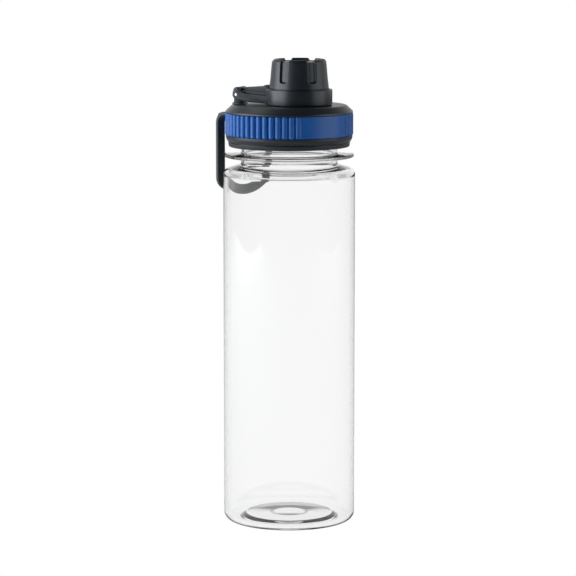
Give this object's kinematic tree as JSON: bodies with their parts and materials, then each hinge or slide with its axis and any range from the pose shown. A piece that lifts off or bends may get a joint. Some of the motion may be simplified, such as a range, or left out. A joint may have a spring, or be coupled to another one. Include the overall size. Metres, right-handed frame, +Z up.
{
  "type": "water bottle",
  "caption": "Clear cylindrical drinking bottle with a screw-on lid, ribbed coloured ring, hinged screw cap over an offset spout and a flexible carry loop.",
  "frame": {"origin": "middle of the base, on the surface the bottle stands on", "axes": "+Z up along the bottle's axis; the front faces -Y; the carry loop and the cap's hinge are at the back left (-X, +Y)"},
  "size_m": [0.0776, 0.0784, 0.2581],
  "materials": {
    "clear_copolyester": "clear, polished, slightly grey at the edges",
    "black_polypropylene": "fine satin moulded",
    "blue_polypropylene": "satin moulded",
    "silicone": "soft translucent white",
    "black_elastomer": "soft matt",
    "steel": "bright drawn wire"
  },
  "bodies": {
    "bottle": {"bottle_body": "clear_copolyester"},
    "gasket": {"lid_gasket": "silicone"},
    "lid": {"lid_shell": "black_polypropylene", "grip_ring": "blue_polypropylene", "lower_collar": "black_polypropylene"},
    "bracket": {"cap_bracket": "black_polypropylene", "hinge_pin": "steel"},
    "seal": {"cap_seal": "silicone"},
    "cap": {"cap_shell": "black_polypropylene"},
    "loop": {"carry_loop": "black_elastomer"}
  },
  "joints": [
    {"name": "lid_lift", "type": "slide", "parent": "bottle", "child": "gasket", "axis": [0, 0, 1], "range_m": [0, 0.0251]},
    {"name": "lid_turn", "type": "hinge", "parent": "gasket", "child": "lid", "pos_m": [0, 0, 0.22], "axis": [0, 0, 1], "range_deg": [0, 1800]},
    {"name": "bracket_flip", "type": "hinge", "parent": "lid", "child": "bracket", "pos_m": [-0.02726, 0.01101, 0.23795], "axis": [-0.3746, -0.9272, 0], "range_deg": [0, 130]},
    {"name": "cap_lift", "type": "slide", "parent": "bracket", "child": "seal", "axis": [0, 0, 1], "range_m": [0, 0.00421]},
    {"name": "cap_turn", "type": "hinge", "parent": "seal", "child": "cap", "pos_m": [0.00547, -0.00221, 0.245], "axis": [0, 0, 1], "range_deg": [0, 540]},
    {"name": "loop_swing", "type": "hinge", "parent": "lid", "child": "loop", "pos_m": [-0.02478, 0.02611, 0.22614], "axis": [0.7254, 0.6884, 0], "range_deg": [0, 80]}
  ],
  "couplings": [
    {"joint": "lid_lift", "follows": "lid_turn", "m_per_rad": 0.00079577},
    {"joint": "cap_lift", "follows": "cap_turn", "m_per_rad": 0.00044563}
  ]
}
